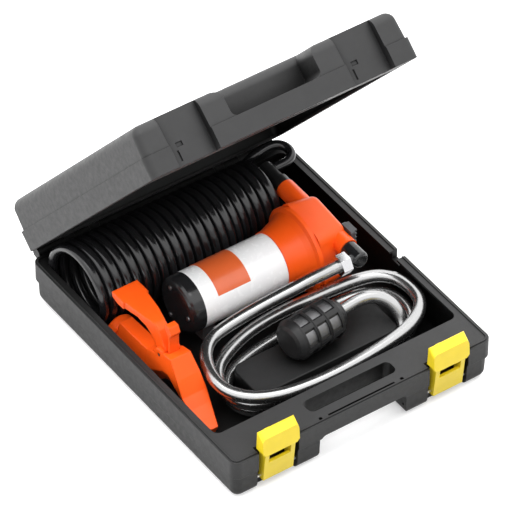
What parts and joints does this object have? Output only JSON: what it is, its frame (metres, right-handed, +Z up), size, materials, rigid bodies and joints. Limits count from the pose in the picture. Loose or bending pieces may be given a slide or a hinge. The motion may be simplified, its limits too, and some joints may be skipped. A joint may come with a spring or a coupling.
{
  "type": "wash-down pump kit in a case",
  "caption": "Wash-down pump kit: electric diaphragm pump, coiled hose, spray gun, suction hose and strainer in a hinged carry case with latches.",
  "frame": {"origin": "centre of the case's underside", "axes": "X along the case's front from left to right, Y from the front to the hinges, Z up"},
  "size_m": [0.34, 0.4386, 0.3898],
  "materials": {
    "case_plastic": "fine-grained blow-moulded case plastic",
    "steel": "plain turned steel",
    "latch_yellow": "bright yellow moulded plastic, satin",
    "white_can": "smooth white painted steel can",
    "orange_label": "printed film band, bare",
    "black_gloss": "polished black plastic",
    "black_plastic": "satin black moulding",
    "ferrite": "dark sintered",
    "rubber_grey": "moulded rubber",
    "rubber_black": "moulded rubber",
    "orange_plastic": "orange-red moulding with a soft gloss",
    "switch_grey": "dark grey moulding",
    "chrome": "bright nickel plate",
    "hose_black": "satin polyurethane hose",
    "suction_black": "smooth glossy hose",
    "mesh_steel": "fine woven wire",
    "gun_orange": "orange-red moulding with a soft gloss",
    "winding_copper": "varnished copper windings on steel sheets",
    "brass": "turned brass"
  },
  "bodies": {
    "base": {"case_base": "case_plastic", "hinge_pin_left": "steel", "hinge_pin_right": "steel", "latch_pin_left": "steel", "latch_pin_right": "steel", "motor_can": "white_can", "motor_label": "orange_label", "motor_end_cap": "black_gloss", "motor_end_cap_screws": "steel", "motor_magnets": "ferrite", "motor_bearing_rear": "steel", "motor_bearing_front": "steel", "brush_carrier": "black_plastic", "carbon_brushes": "ferrite", "motor_foot": "rubber_grey", "pump_lower_housing": "orange_plastic", "diaphragm": "rubber_black", "pump_head": "orange_plastic", "valve_plate": "black_plastic", "valve_discs": "rubber_black", "pressure_switch": "switch_grey", "inlet_elbow": "black_gloss", "hose_nut": "chrome", "outlet_fitting": "black_plastic", "recoil_hose": "hose_black", "recoil_hose_end_fitting": "black_plastic", "suction_hose": "suction_black", "strainer_body": "black_plastic", "strainer_mesh": "mesh_steel", "strainer_end_cap": "black_plastic", "strainer_collar": "black_plastic", "gun_body": "gun_orange", "gun_inlet_coupling": "gun_orange", "gun_lever_pin": "steel", "gun_valve_guide": "black_plastic"},
    "lid": {"case_lid": "case_plastic"},
    "latch_left": {"latch_left": "latch_yellow"},
    "latch_right": {"latch_right": "latch_yellow"},
    "rotor": {"motor_shaft": "steel", "motor_armature": "winding_copper", "drive_eccentric": "steel"},
    "wobble_plate": {"wobble_plate": "black_plastic"},
    "gun_lever": {"gun_lever": "gun_orange"},
    "gun_catch": {"gun_lever_catch": "gun_orange"},
    "valve_stem": {"gun_valve_stem": "brass", "gun_valve_seal": "rubber_black"}
  },
  "joints": [
    {"name": "lid_hinge", "type": "hinge", "parent": "base", "child": "lid", "pos_m": [0, 0.204, 0.053], "axis": [-1, 0, 0], "range_deg": [-49.6, 60]},
    {"name": "latch_left_hinge", "type": "hinge", "parent": "base", "child": "latch_left", "pos_m": [-0.112, -0.1872, 0.015], "axis": [1, 0, 0], "range_deg": [-3, 92]},
    {"name": "latch_right_hinge", "type": "hinge", "parent": "base", "child": "latch_right", "pos_m": [0.112, -0.1872, 0.015], "axis": [1, 0, 0], "range_deg": [-3, 92]},
    {"name": "motor_spin", "type": "hinge", "parent": "base", "child": "rotor", "pos_m": [0, 0.043, 0.055], "axis": [1, 0, 0], "continuous": true},
    {"name": "wobble_spin", "type": "hinge", "parent": "rotor", "child": "wobble_plate", "pos_m": [0.0637, 0.043, 0.055], "axis": [0.9986, 0, -0.0523], "continuous": true},
    {"name": "gun_lever_hinge", "type": "hinge", "parent": "base", "child": "gun_lever", "pos_m": [-0.131, -0.014, 0.062], "axis": [-1, 0, 0], "range_deg": [0, 18], "stiffness_Nm_per_rad": 0.3, "springref_deg": -20.05},
    {"name": "gun_catch_hinge", "type": "hinge", "parent": "base", "child": "gun_catch", "pos_m": [-0.131, -0.025, 0.0553], "axis": [-1, 0, 0], "range_deg": [0, 5]},
    {"name": "valve_stem_slide", "type": "slide", "parent": "base", "child": "valve_stem", "axis": [0, 1, 0], "range_m": [0, 0.004]}
  ],
  "couplings": [
    {"joint": "wobble_spin", "follows": "motor_spin", "ratio": -1},
    {"joint": "valve_stem_slide", "follows": "gun_lever_hinge", "m_per_rad": 0.012731}
  ]
}
